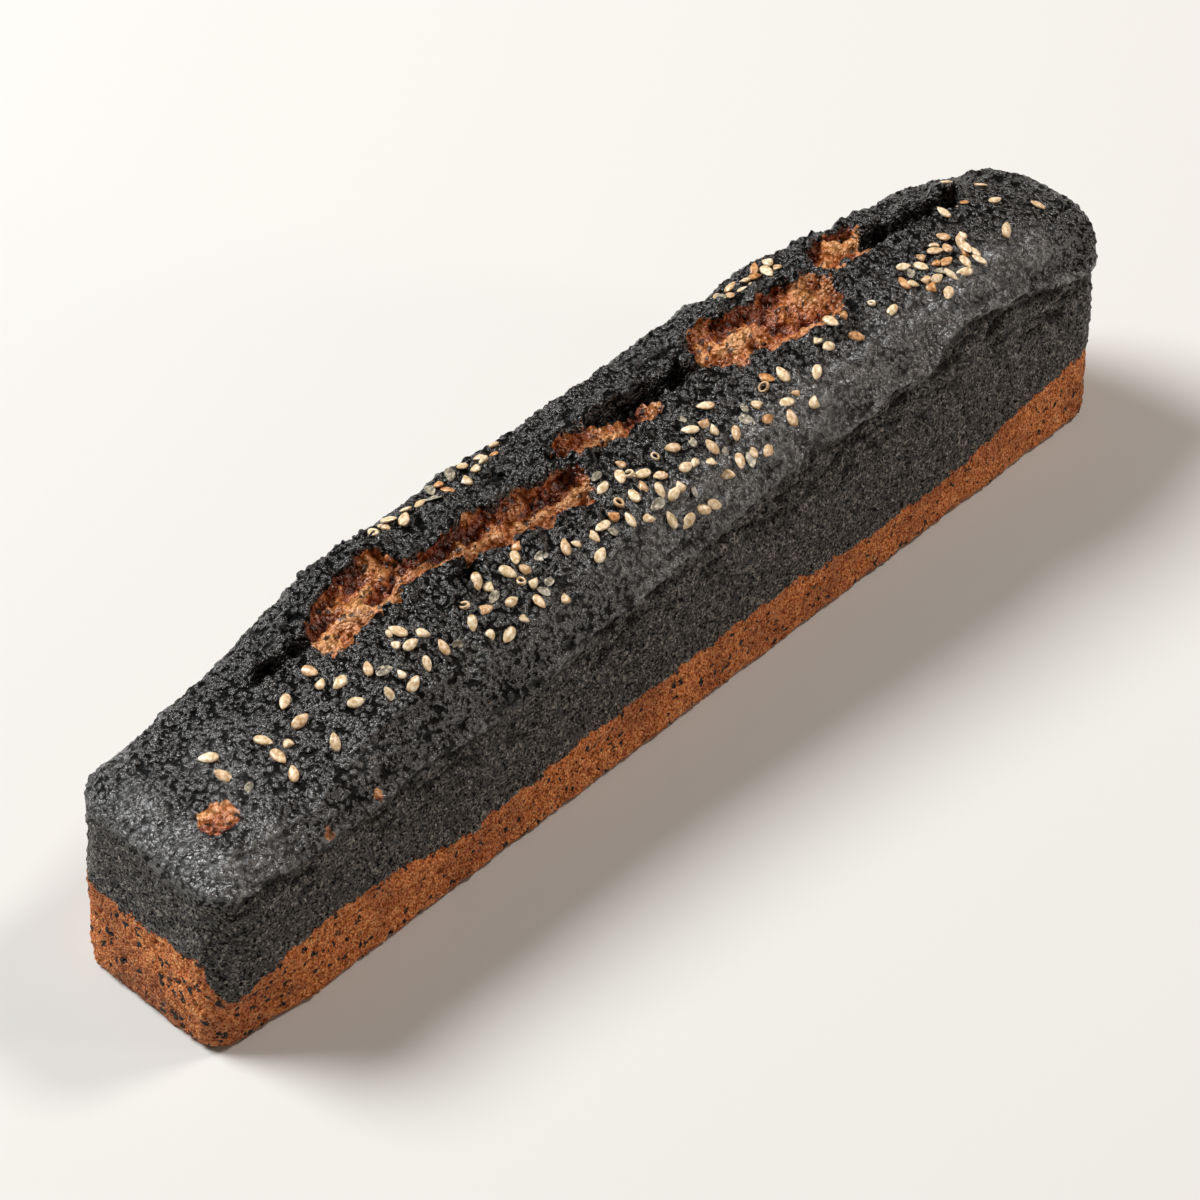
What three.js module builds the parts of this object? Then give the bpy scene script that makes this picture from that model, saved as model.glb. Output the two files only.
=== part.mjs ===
import * as THREE from "three";

// A slim loaf cake, baked in a bar pan, with whole sesame seeds stuck to its crust.
// Millimetres, +Z up. X runs along the loaf, and the origin is the middle of its flat base.

// Plan of the loaf: the pan's walls lean out, so the rim is a little larger than the base.
const baseLength = 217.4;
const baseWidth = 35.4;
const wallFlare = 0.4; // how far each wall leans out by rim height
const footCorner = 4.5; // radius of the upright corners in plan, at the base
const rimCorner = 8; // and at the rim, where the batter pulled away from the pan
const footRadius = 2; // small round between the walls and the flat base
const shoulderWidth = 6; // the strip along the edge where the risen top bends down to the walls
const shoulderDrop = 3.4; // how much lower the wall's top edge is than the top beside it
const shoulderPower = 2.2; // higher keeps more of the strip flat and makes its edge crisper
const endShoulder = 0.55; // share of that drop left at the far end

// Heights of the two long rims. The batter climbed highest past the middle of the loaf.
const frontRimHeight = 36;
const backRimHeight = 38;
const frontRise = 9;
const frontSwell = 1.5;
const frontFall = 7;
const backRise = 10;
const backFall = 11;
const backEndFall = 3.5; // the back corner of the far end sagged a little more
const crownHeight = 5.5; // the dome across the loaf, above the straight line from rim to rim
const endCrown = 2.5; // added to the dome at the far end, which rose fuller
const crownPower = 2.6; // 2 would be round; higher is flatter on top

// The long split where the crust tore open: a shallow valley just behind the middle.
const split = { start: -76, end: 88, across: 5, sway: 2, period: 92, halfWidth: 5, depth: 3.4 };

// How finely the loaf is divided. Crowding over 1 draws the grid lines towards the ends or the foot.
const loafGrid = { along: 44, across: 14, upright: 6, endCrowding: 1.6, footCrowding: 1.8 };

// One sesame seed, and the air left between each seed and the crust.
const seed = { length: 3.5, width: 2.1, thickness: 1.0, taper: 0.4, clearance: 0.3 };
const seedGrid = { around: 8, fromTipToTip: 4 };

// Where the seeds were sprinkled: the middle of each patch, its half sizes, and how many it got.
const sprinkles = [
  { along: -78, across: -3, halfLength: 15, halfWidth: 7, count: 10 },
  { along: -57, across: -6, halfLength: 8, halfWidth: 5, count: 5 },
  { along: -38, across: -9.5, halfLength: 8, halfWidth: 3.5, count: 4 },
  { along: -36, across: 12.5, halfLength: 10, halfWidth: 1.6, count: 4 },
  { along: -16, across: -9, halfLength: 8, halfWidth: 3.5, count: 4 },
  { along: 3, across: -10, halfLength: 11, halfWidth: 6, count: 10 },
  { along: 21, across: -12, halfLength: 7, halfWidth: 3.5, count: 4 },
  { along: 40, across: -9, halfLength: 11, halfWidth: 2.5, count: 4 },
  { along: 43, across: 11.5, halfLength: 7, halfWidth: 2, count: 4 },
  { along: 71, across: -9.5, halfLength: 10, halfWidth: 5, count: 6 },
  { along: 93, across: -3, halfLength: 12, halfWidth: 8, count: 4 },
];
const alongStep = 0.7549; // together these two steps fill a patch evenly, with no rows
const acrossStep = 0.5698;
const fullTurn = 2 * Math.PI;

// 0 at the start of a stretch, 1 at its end, easing in and out.
function ease(value, start, length) {
  return THREE.MathUtils.smoothstep(value, start, start + length);
}

function frontRim(x) {
  const rise = frontRise * ease(x, -60, 115) + frontSwell * ease(x, 40, 30);
  return frontRimHeight + rise - frontFall * ease(x, 74, 36);
}

function backRim(x) {
  const rise = ease(x, -110, 25) + backRise * ease(x, -92, 42);
  return backRimHeight + rise - backFall * ease(x, 46, 64) - backEndFall * ease(x, 88, 20);
}

// The split fades out at its ends and sways a little from side to side.
function splitDepth(x, y) {
  const { start, end, across, sway, period, halfWidth, depth } = split;
  const middle = across + sway * Math.cos((fullTurn * x) / period);
  const sideways = (y - middle) / halfWidth;
  const endFade = ease(x, start, 18) * (1 - ease(x, end - 18, 18));
  return depth * endFade * Math.exp(-sideways * sideways);
}

// Height of the risen top over a point of the plan, before the shoulders are rounded.
function topHeight(x, y) {
  const acrossRatio = THREE.MathUtils.clamp((2 * y) / baseWidth, -1, 1);
  const rim = THREE.MathUtils.lerp(frontRim(x), backRim(x), (1 + acrossRatio) / 2);
  const crown = 1 + (crownHeight - 1) * ease(x, -110, 55) + endCrown * ease(x, 60, 45);
  return rim + crown * (1 - Math.abs(acrossRatio) ** crownPower) - splitDepth(x, y);
}

// Distance of a point of the plan inside the rounded outline of the rim.
function distanceInside(x, y) {
  const pastX = Math.abs(x) - (baseLength / 2 - rimCorner);
  const pastY = Math.abs(y) - (baseWidth / 2 - rimCorner);
  const beyondCorner = Math.hypot(Math.max(pastX, 0), Math.max(pastY, 0));
  return rimCorner - beyondCorner - Math.min(Math.max(pastX, pastY), 0);
}

function crustHeight(x, y) {
  const towardsEdge = THREE.MathUtils.clamp(1 - distanceInside(x, y) / shoulderWidth, 0, 1);
  const drop = THREE.MathUtils.lerp(shoulderDrop, endShoulder * shoulderDrop, ease(x, 85, 20));
  return topHeight(x, y) - drop * towardsEdge ** shoulderPower;
}

// Turns the square corners of the plan into quarter circles.
function roundCorner(x, y, radius) {
  const flatX = baseLength / 2 - radius;
  const flatY = baseWidth / 2 - radius;
  const p = (Math.abs(x) - flatX) / radius;
  const q = (Math.abs(y) - flatY) / radius;
  if (p <= 0 || q <= 0) {
    return [x, y];
  }
  const roundX = flatX + radius * p * Math.sqrt(1 - (q * q) / 2);
  const roundY = flatY + radius * q * Math.sqrt(1 - (p * p) / 2);
  return [Math.sign(x) * roundX, Math.sign(y) * roundY];
}

// The loaf starts as a box two units each way. Its grid lines are drawn closer together near
// the edges, its plan is rounded, and each column is stretched from the base to the crust.
function makeLoafGeometry() {
  const { along, across, upright, endCrowding, footCrowding } = loafGrid;
  const geometry = new THREE.BoxGeometry(2, 2, 2, along, across, upright);
  const places = geometry.getAttribute("position");
  for (let i = 0; i < places.count; i += 1) {
    const s = places.getX(i);
    const t = places.getY(i);
    const level = (places.getZ(i) + 1) / 2;
    const boxX = Math.sign(s) * (1 - (1 - Math.abs(s)) ** endCrowding) * (baseLength / 2);
    const boxY = Math.sin((t * Math.PI) / 2) * (baseWidth / 2);
    const climb = level ** footCrowding;
    const radius = THREE.MathUtils.lerp(footCorner, rimCorner, climb);
    const [x, y] = roundCorner(boxX, boxY, radius);
    const z = climb * crustHeight(x, y);
    const footLift = Math.max(footRadius - z, 0);
    const footInset = footRadius - Math.sqrt(footRadius ** 2 - footLift ** 2);
    const flare = (wallFlare * Math.min(z, frontRimHeight)) / frontRimHeight - footInset;
    const scaleX = 1 + (2 * flare) / baseLength;
    const scaleY = 1 + (2 * flare) / baseWidth;
    places.setXYZ(i, x * scaleX, y * scaleY, z);
  }
  geometry.computeVertexNormals();
  return geometry;
}

// A seed is a flattened ball drawn out along X, narrower towards its tip at +X.
function makeSeedGeometry() {
  const geometry = new THREE.SphereGeometry(1, seedGrid.around, seedGrid.fromTipToTip);
  geometry.rotateZ(-Math.PI / 2);
  const places = geometry.getAttribute("position");
  for (let i = 0; i < places.count; i += 1) {
    const x = places.getX(i);
    const narrowing = 1 - seed.taper * ease(x, -0.3, 1.3);
    const y = (places.getY(i) * seed.width * narrowing) / 2;
    const z = (places.getZ(i) * seed.thickness * narrowing) / 2;
    places.setXYZ(i, (x * seed.length) / 2, y, z);
  }
  geometry.computeVertexNormals();
  return geometry;
}

function makeCrustMaterial() {
  return new THREE.MeshStandardMaterial({ color: 0x29292a, roughness: 0.78, metalness: 0 });
}

function makeSesameMaterial() {
  return new THREE.MeshStandardMaterial({ color: 0xe0c48f, roughness: 0.5, metalness: 0 });
}

// Direction that points straight out of the crust over a point of the plan.
function crustNormal(x, y) {
  const step = 1.5;
  const slopeX = (crustHeight(x + step, y) - crustHeight(x - step, y)) / (2 * step);
  const slopeY = (crustHeight(x, y + step) - crustHeight(x, y - step)) / (2 * step);
  return new THREE.Vector3(-slopeX, -slopeY, 1).normalize();
}

// Lays a seed flat on the crust, its tip pointing where heading says.
function placeSeed(mesh, x, y, heading) {
  const up = new THREE.Vector3(0, 0, 1);
  const normal = crustNormal(x, y);
  const lean = new THREE.Quaternion().setFromUnitVectors(up, normal);
  const turn = new THREE.Quaternion().setFromAxisAngle(up, heading);
  const lift = seed.thickness / 2 + seed.clearance;
  mesh.quaternion.copy(lean.multiply(turn));
  mesh.position.set(x, y, crustHeight(x, y)).addScaledVector(normal, lift);
}

function makeLoaf() {
  const loaf = new THREE.Mesh(makeLoafGeometry(), makeCrustMaterial());
  loaf.name = "loaf";
  return loaf;
}

// Place number i in a patch, from -1 to 1: each coordinate wraps round as i grows.
function spread(i, step) {
  return 2 * ((0.5 + i * step) % 1) - 1;
}

function makeSeeds() {
  const seeds = new THREE.Group();
  const geometry = makeSeedGeometry();
  for (const patch of sprinkles) {
    for (let i = 0; i < patch.count; i += 1) {
      const x = patch.along + patch.halfLength * spread(i, alongStep);
      const y = patch.across + patch.halfWidth * spread(i, acrossStep);
      const mesh = new THREE.Mesh(geometry, makeSesameMaterial());
      const number = String(seeds.children.length + 1).padStart(2, "0");
      mesh.name = `sesame_seed_${number}`;
      placeSeed(mesh, x, y, fullTurn * (x % 1)); // a heading as good as chance
      seeds.add(mesh);
    }
  }
  return seeds;
}

const cake = new THREE.Group();
cake.add(makeLoaf(), makeSeeds());

export default cake;
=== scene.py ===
import math

import bpy
import numpy as np
from mathutils import Matrix, Vector, kdtree, noise
from mathutils.bvhtree import BVHTree


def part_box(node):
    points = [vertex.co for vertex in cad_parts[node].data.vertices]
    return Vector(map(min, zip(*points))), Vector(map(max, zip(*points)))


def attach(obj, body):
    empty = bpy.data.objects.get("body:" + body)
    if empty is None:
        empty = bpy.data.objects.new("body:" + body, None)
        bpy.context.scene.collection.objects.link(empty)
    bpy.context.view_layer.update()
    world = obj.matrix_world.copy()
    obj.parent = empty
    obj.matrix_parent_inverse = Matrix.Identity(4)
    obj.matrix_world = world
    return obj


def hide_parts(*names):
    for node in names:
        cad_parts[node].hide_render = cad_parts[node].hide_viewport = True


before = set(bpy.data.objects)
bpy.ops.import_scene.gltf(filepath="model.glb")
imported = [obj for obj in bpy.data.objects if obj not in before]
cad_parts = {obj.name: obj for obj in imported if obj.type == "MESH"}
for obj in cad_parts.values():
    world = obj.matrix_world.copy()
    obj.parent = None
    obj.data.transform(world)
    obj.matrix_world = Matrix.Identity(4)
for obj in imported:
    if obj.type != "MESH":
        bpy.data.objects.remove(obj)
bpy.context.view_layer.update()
mm = 0.001  # sizes below are in millimetres, and Blender works in metres


def setMode(mode):
    bpy.ops.object.mode_set(mode=mode)


def deselectAll():
    if bpy.context.object and bpy.context.object.mode != "OBJECT":
        setMode("OBJECT")
    bpy.ops.object.select_all(action="DESELECT")


def hexToLinear(code):
    # "#rrggbb" as seen on a screen, turned into the linear colour that shaders use
    channels = [int(code[i:i + 2], 16) / 255 for i in (1, 3, 5)]
    linear = [c / 12.92 if c <= 0.04045 else ((c + 0.055) / 1.055) ** 2.4 for c in channels]
    return (*linear, 1.0)


def fillInputs(tree, node, inputs):
    # a socket is linked, a value is set
    for name, value in inputs.items():
        if isinstance(value, bpy.types.NodeSocket):
            tree.links.new(value, node.inputs[name])
        else:
            node.inputs[name].default_value = value


def addNode(tree, kind, settings=None, inputs=None, output=0, stops=()):
    # one node with its settings and what goes into it. Gives the output asked for. The stops are a
    # colour ramp's.
    node = tree.nodes.new(kind)
    for name, value in (settings or {}).items():
        setattr(node, name, value)
    fillInputs(tree, node, inputs or {})
    for i, (position, colour) in enumerate(stops):
        elements = node.color_ramp.elements
        element = elements[i] if i < 2 else elements.new(position)
        element.position = position
        element.color = hexToLinear(colour)
    return node.outputs[output]


def newMaterial(name):
    material = bpy.data.materials.new(name)
    material.use_nodes = True
    tree = material.node_tree
    return material, tree, tree.nodes["Principled BSDF"]


def perSize(size):
    # texture scale that gives a pattern whose grains are this many millimetres across
    return 1 / (size * mm)


def ease(value, start, length):
    # 0 before a stretch, 1 after it, and smooth in between
    t = np.clip((value - start) / length, 0, 1)
    return t * t * (3 - 2 * t)


def bell(distance, width):
    # 1 on a line and 0 well away from it
    return np.exp(-(distance / width) ** 2)


def unevenness(places, size, seed, octaves=1, stretch=(1, 1, 1)):
    # smooth random swelling of about -1 to 1, for points in mm, with lumps of the given size
    shift = Vector((13.7 * seed, 7.1 * seed, 3.9 * seed))
    scaled = places / (size * np.array(stretch))
    return np.array([1.6 * noise.fractal(Vector(p) + shift, 1.0, 2.0, octaves) for p in scaled])


def cells(places, size, seed):
    # distance from each point to the nearest of scattered centres, 0 at a centre and about 1 between them
    shift = Vector((5.3 * seed, 11.9 * seed, 2.7 * seed))
    return np.array([noise.voronoi(Vector(p) + shift)[0][0] for p in places / size])


def smoothFaces(mesh):
    for polygon in mesh.polygons:
        polygon.use_smooth = True


def setAttribute(mesh, name, values):
    layer = mesh.attributes.new(name, "FLOAT", "POINT")
    layer.data.foreach_set("value", np.asarray(values, np.float32))


camera = {
    "target": (7.3, 13.0, 0.0),  # the point of the floor it looks at, and how far off it stands
    "distance": 682,
    "azimuth": -46.94,  # 0 looks at the front, and negative comes from the near end
    "elevation": 42.47,
    "lens": 115.8,
}


def makeCamera():
    a, e = math.radians(camera["azimuth"]), math.radians(camera["elevation"])
    back = Vector((math.sin(a) * math.cos(e), -math.cos(a) * math.cos(e), math.sin(e)))
    data = bpy.data.cameras.new("camera")
    data.lens = camera["lens"]
    eye = bpy.data.objects.new("camera", data)
    eye.location = (Vector(camera["target"]) + back * camera["distance"]) * mm
    eye.rotation_mode = "QUATERNION"
    eye.rotation_quaternion = (-back).to_track_quat("-Z", "Y")
    bpy.context.scene.collection.objects.link(eye)
    bpy.context.scene.camera = eye


lights = {
    # name: where it stands and its size in metres, its power in watts, and its colour
    "windowBack": {"place": (-0.5, 1.05, 1.4), "size": 0.85, "power": 46, "colour": "#fcfeff"},
    "ceilingSoft": {"place": (0.9, -0.42, 1.3), "size": 0.34, "power": 11, "colour": "#fff8f2"},
    "lowRight": {"place": (0.95, -1.3, 0.4), "size": 0.4, "power": 5.6, "colour": "#fff4ea"},
}
roomLight = {"colour": "#ffdabd", "strength": 0.13}


def makeLights():
    for name, light in lights.items():
        data = bpy.data.lights.new(name, "AREA")
        data.shape = "DISK"
        data.size = light["size"]
        data.energy = light["power"]
        data.color = hexToLinear(light["colour"])[:3]
        lamp = bpy.data.objects.new(name, data)
        lamp.location = light["place"]
        lamp.rotation_mode = "QUATERNION"
        lamp.rotation_quaternion = (-Vector(light["place"])).to_track_quat("-Z", "Y")
        bpy.context.scene.collection.objects.link(lamp)
    world = bpy.data.worlds.new("room")
    world.use_nodes = True
    fillInputs(world.node_tree, world.node_tree.nodes["Background"], {
        "Color": hexToLinear(roomLight["colour"]), "Strength": roomLight["strength"]})
    bpy.context.scene.world = world
    bpy.context.scene.view_settings.view_transform = "Standard"


floorPaint = {"size": 6, "colour": "#cdcdca", "roughness": 0.9, "shine": 0.2}


def makeFloor():
    deselectAll()
    bpy.ops.mesh.primitive_plane_add(size=floorPaint["size"], location=(0, 0, 0))
    floor = bpy.context.object
    floor.name = "floor"
    material, tree, shader = newMaterial("paleMattePaint")
    fillInputs(tree, shader, {
        "Base Color": hexToLinear(floorPaint["colour"]),
        "Roughness": floorPaint["roughness"],
        "Specular IOR Level": floorPaint["shine"]})
    floor.data.materials.append(material)


loafLow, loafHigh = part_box("loaf")
wallFlare = 0.4  # how far each wall leans out by rim height
loaf = {
    "length": (loafHigh.x - loafLow.x) / mm - 2 * wallFlare,  # at the base
    "width": (loafHigh.y - loafLow.y) / mm - 2 * wallFlare,
    "footCorner": 4.5,  # radius of the upright corners at the base
    "rimCorner": 8,  # and at the rim
    "footRadius": 1.4,
    "shoulderWidth": 6,  # the strip along the edge where the risen top bends down to the walls
    "shoulderDrop": 3.4,
    "shoulderPower": 2.2,  # higher makes the strip's edge crisper
    "farShoulderLoss": 0.45,  # share of the drop that is missing at the far end
    "frontRim": 36,  # at the near end
    "backRim": 38,
    "nearCrown": 1,  # the dome across the loaf at its near end, in its middle, and more at its far end
    "crown": 5.5,
    "farCrown": 2.5,
    "crownPower": 2.6,  # 2 would be round; higher is flatter on top
    "footSpread": 2.6,  # how far the near end's foot spread on the pan's floor
    "footNarrowing": 0.1,  # and the share by which it drew in at its sides
    "edgeCrowding": 0.35,  # draws the columns closer together towards the long edges
    "columnsAlong": 450,
    "columnsAcross": 80,
    "rowsDown": 50,
}

# How the rims climb and fall along the loaf: where each change starts, how long it takes, and the
# height it adds.
rimChanges = {
    "frontRim": [(-60, 115, 9), (40, 30, 1.5), (74, 36, -7)],
    "backRim": [(-110, 25, 1), (-92, 42, 10), (46, 64, -11), (88, 20, -3.5)],
}

# The rim's own unevenness, and the marks that the pan left under it.
rimShape = {
    "waveSize": 10,
    "wave": 0.6,
    "farWave": 1.7,  # added past the middle of the loaf
    "waveReach": 3.5,  # how far in from the edge the wave dies out
    "bead": 1.5,  # how far the rim's bead stands proud
    "groove": 0.8,  # depth of the groove under it
    "grooveBelow": 3.0,
    "backSpill": 0.6,  # share of both that the back has
    "dragMarks": 1.3,
    "dragMarkSize": 1.3,
}

# Where the crust tore open as it rose: each tear's two ends (along, across), half width, depth, and
# whether moist crumb shows in it (1) or it stayed a dark ditch (0).
tears = [
    ((-77, 7.2), (-66, 5.2), 1.5, 3.4, 0),
    ((-64, 4.4), (-53, 6.2), 4.8, 2.3, 1),
    ((-53, 4.4), (-37, 1.8), 1.6, 1.9, 1),
    ((-34, 2.0), (-15, -1.6), 3.6, 3.9, 1),
    ((-10, 4.6), (7, 1.4), 2.5, 3.6, 1),
    ((-2, 5.2), (22, 2.2), 1.8, 4.4, 0),
    ((26, 4.0), (47, -0.8), 5.6, 3.2, 1),
    ((57, 5.4), (63, 6.0), 4.3, 2.6, 1),
    ((64, 4.4), (87, 2.6), 2.3, 4.8, 0),
    ((-40, -2.4), (-38.4, -2.0), 1.6, 4.0, 0),
]
tearShape = {
    "crags": 1.25,  # height of the crumb's broad lumps
    "cragSize": 2.7,
    "fineLumps": 0.5,
    "fineLumpSize": 1.05,
    "shallowest": 0.3,  # even the highest crumb lies this far below the crust
    "backRise": 0.6,  # share of the depth that the crumb's floor has lost at the back edge
    "frontRise": 0.75,  # and at the front edge
    "backLip": 1.3,  # how far the torn crust curls up at each edge
    "frontLip": 0.5,
    "lipLumps": 0.75,
    "lipLumpSize": 2.9,
    "overhang": 1.0,  # how far the back edge's crust leans over the tear
    "undercut": 0.7,  # and the tear is cut back under it
}

# The crust's relief: how broad each kind of lump is, and how far it stands out on the top and on the
# walls. Pits are burst bubbles: how many were thrown, their smallest and largest radius, their depth.
crustRelief = {
    "size": {"swelling": 9, "creases": 4.2, "knobs": 1.9, "grains": 0.95, "wrinkles": 1.7},
    "top": {"swelling": 0.4, "creases": 0.75, "knobs": 0.75, "grains": 0.22, "wrinkles": 0.6},
    "wall": {"swelling": 0.25, "knobs": 0.16, "grains": 0.26},
    "topPits": {"count": 750, "radius": (0.4, 1.0), "depth": 1.0},
    "wallPits": {"count": 4500, "radius": (0.35, 0.85), "depth": 0.8},
}

# The pale batter's height up the front wall, as (along, height), and its usual height at the back
# and at its near end.
batterLine = [(-112, 6.6), (-106, 9.8), (-97, 14.0), (-85, 16), (-60, 10.8), (-30, 12.7),
              (20, 12.4), (47, 10), (72, 10.6), (90, 14), (112, 15.5)]
batterAtBack = 15.5
batterAtNearBack = 17.7

# Spots of pale batter that broke through the crust: place in mm and radius.
batterSpots = [
    ((-99.0, -6.4, 37.5), 3.3),
    ((-86.5, -17.8, 33.4), 0.9),
    ((-76.0, -17.8, 34.2), 0.9),
    ((-50.5, -17.8, 36.2), 0.9),
    ((-92.0, -17.8, 31.5), 0.5),
]


def rimHeights(x):
    # heights of the front rim and the back rim
    heights = []
    for rim, changes in rimChanges.items():
        height = loaf[rim]
        for start, length, rise in changes:
            height = height + rise * ease(x, start, length)
        heights.append(height)
    return heights


def distanceInside(x, y):
    # how far a point of the plan lies inside the loaf's rounded outline
    pastX = np.abs(x) - (loaf["length"] / 2 - loaf["rimCorner"])
    pastY = np.abs(y) - (loaf["width"] / 2 - loaf["rimCorner"])
    beyond = np.hypot(np.maximum(pastX, 0), np.maximum(pastY, 0))
    return loaf["rimCorner"] - beyond - np.minimum(np.maximum(pastX, pastY), 0)


def crustHeight(x, y):
    share = np.clip(2 * y / loaf["width"], -1, 1)
    front, back = rimHeights(x)
    rim = front + (back - front) * (1 + share) / 2
    crown = loaf["nearCrown"] + (loaf["crown"] - loaf["nearCrown"]) * ease(x, -110, 55)
    crown = crown + loaf["farCrown"] * ease(x, 60, 45)
    towardsEdge = np.clip(1 - distanceInside(x, y) / loaf["shoulderWidth"], 0, 1)
    drop = loaf["shoulderDrop"] * (1 - loaf["farShoulderLoss"] * ease(x, 85, 20))
    dome = crown * (1 - np.abs(share) ** loaf["crownPower"])
    return rim + dome - drop * towardsEdge ** loaf["shoulderPower"]


def roundCorners(x, y, radius):
    # turns the square corners of the plan into quarter circles
    flatX, flatY = loaf["length"] / 2 - radius, loaf["width"] / 2 - radius
    p, q = (np.abs(x) - flatX) / radius, (np.abs(y) - flatY) / radius
    corner = (p > 0) & (q > 0)
    p, q = np.where(corner, p, 0), np.where(corner, q, 0)
    roundX = np.sign(x) * (flatX + radius * p * np.sqrt(1 - q * q / 2))
    roundY = np.sign(y) * (flatY + radius * q * np.sqrt(1 - p * p / 2))
    return np.where(corner, roundX, x), np.where(corner, roundY, y)


def modelLoafBlank():
    # a fine sheet for the top, its edge pulled down row by row as walls, then drawn in as the base
    deselectAll()
    bpy.ops.mesh.primitive_grid_add(
        x_subdivisions=loaf["columnsAlong"], y_subdivisions=loaf["columnsAcross"], size=2,
        location=(0, 0, 1))
    blank = bpy.context.object
    blank.name = "loaf_visual"
    bpy.ops.object.transform_apply()
    setMode("EDIT")
    bpy.ops.mesh.select_mode(type="EDGE")
    bpy.ops.mesh.select_all(action="SELECT")
    bpy.ops.mesh.region_to_loop()
    for _ in range(loaf["rowsDown"]):
        bpy.ops.mesh.extrude_region_move(
            TRANSFORM_OT_translate={"value": (0, 0, -1 / loaf["rowsDown"])})
    for share in (0.985, 0.9, 0.6):
        bpy.ops.mesh.extrude_region_move()
        bpy.ops.transform.resize(value=(share, share, 1), center_override=(0, 0, 0))
    bpy.ops.mesh.merge(type="COLLAPSE")
    bpy.ops.mesh.select_all(action="SELECT")
    bpy.ops.mesh.normals_make_consistent(inside=False)
    setMode("OBJECT")
    return blank


def readPlaces(mesh):
    places = np.zeros(len(mesh.vertices) * 3)
    mesh.vertices.foreach_get("co", places)
    return places.reshape(-1, 3)


def writePlaces(mesh, places):
    mesh.vertices.foreach_set("co", places.astype(np.float32).ravel())
    mesh.update()


def readNormals(mesh):
    normals = np.zeros(len(mesh.vertices) * 3, np.float32)
    mesh.vertex_normals.foreach_get("vector", normals)
    return normals.reshape(-1, 3).astype(float)


def tearField(x, y):
    # how far inside the nearest tear's edge each point lies (mm), that tear's depth and crumb share,
    # and on which side of its middle line the point is (1 at the back edge, -1 at the front)
    flat = np.stack([x, y, np.zeros_like(x)], 1)
    ragged = 1.1 * unevenness(flat, 4.6, 3, 2) + 0.6 * unevenness(flat, 1.5, 4)
    inside = np.full_like(x, -1e3)
    depth, crumb, side = np.zeros_like(x), np.zeros_like(x), np.zeros_like(x)
    for (x0, y0), (x1, y1), halfWidth, tearDepth, hasCrumb in tears:
        along = np.clip(((x - x0) * (x1 - x0) + (y - y0) * (y1 - y0))
                        / ((x1 - x0) ** 2 + (y1 - y0) ** 2), 0, 1)
        dx, dy = x - (x0 + along * (x1 - x0)), y - (y0 + along * (y1 - y0))
        ragShare = min(1, halfWidth / 2.5)  # narrow tears are less ragged
        here = halfWidth + ragged * ragShare - np.hypot(dx, dy)
        nearer = here > inside
        inside = np.where(nearer, here, inside)
        depth = np.where(nearer, tearDepth, depth)
        crumb = np.where(nearer, hasCrumb, crumb)
        side = np.where(nearer, np.clip(dy / halfWidth, -1.5, 1.5), side)
    return inside, depth, crumb, side


def pitField(places, kind, seed, spanX, spanY, spanZ):
    # small burst bubbles: 1 at the middle of a pit, 0 outside it
    maker = np.random.default_rng(seed)
    count = kind["count"]
    middles = maker.uniform((spanX[0], spanY[0], spanZ[0]), (spanX[1], spanY[1], spanZ[1]), (count, 3))
    sizes = maker.uniform(*kind["radius"], count)
    tree = kdtree.KDTree(count)
    for i, middle in enumerate(middles):
        tree.insert(middle, i)
    tree.balance()
    pits = np.zeros(len(places))
    for i, place in enumerate(places):
        _, nearest, distance = tree.find(place)
        reach = distance / sizes[nearest]
        if reach < 2:
            pits[i] = math.exp(-2 * reach ** 4)
    return pits


def smoothForm(box, isTop, isBase):
    # The loaf before its crust and tears. Gives each point's place, how far it lies inside the rim,
    # and the height that the rim's wave adds there.
    level = box[:, 2]  # 1 on the top sheet, 0 on the base, and between on the walls
    across = box[:, 1] + loaf["edgeCrowding"] * np.sin(math.pi * box[:, 1]) / math.pi
    across = np.where(isBase, box[:, 1], across)
    radius = loaf["footCorner"] + (loaf["rimCorner"] - loaf["footCorner"]) * level
    x, y = roundCorners(box[:, 0] * loaf["length"] / 2, across * loaf["width"] / 2, radius)
    height = crustHeight(x, y)
    edge = distanceInside(x, y)

    # the rim isn't level: it waves up and down, most of all past the middle of the loaf
    rimPlace = np.stack([x, np.sign(y) * 30, np.zeros_like(x)], 1)  # 30 keeps the two rims unalike
    swing = rimShape["wave"] + rimShape["farWave"] * ease(x, 0, 40)
    wave = unevenness(rimPlace, rimShape["waveSize"], 5, 2) * swing * (1 - ease(x, 96, 10))
    height = height + wave * np.where(isTop, bell(np.maximum(edge, 0), rimShape["waveReach"]), 1)
    z = np.where(isTop, height, level * height)

    # the pan's walls lean out, and their foot is slightly rounded
    lift = np.clip(loaf["footRadius"] - z, 0, None)
    footInset = loaf["footRadius"] - np.sqrt(np.maximum(loaf["footRadius"] ** 2 - lift ** 2, 0))
    flare = wallFlare * np.minimum(z, loaf["frontRim"]) / loaf["frontRim"] - footInset
    x = x * (1 + 2 * flare / loaf["length"])
    y = y * (1 + 2 * flare / loaf["width"])
    spread = ease(-x, 90, 18) * (1 - ease(z, 0, 30))
    x = x - loaf["footSpread"] * spread
    y = y * (1 - loaf["footNarrowing"] * spread)
    return x, y, z, edge, wave


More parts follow.
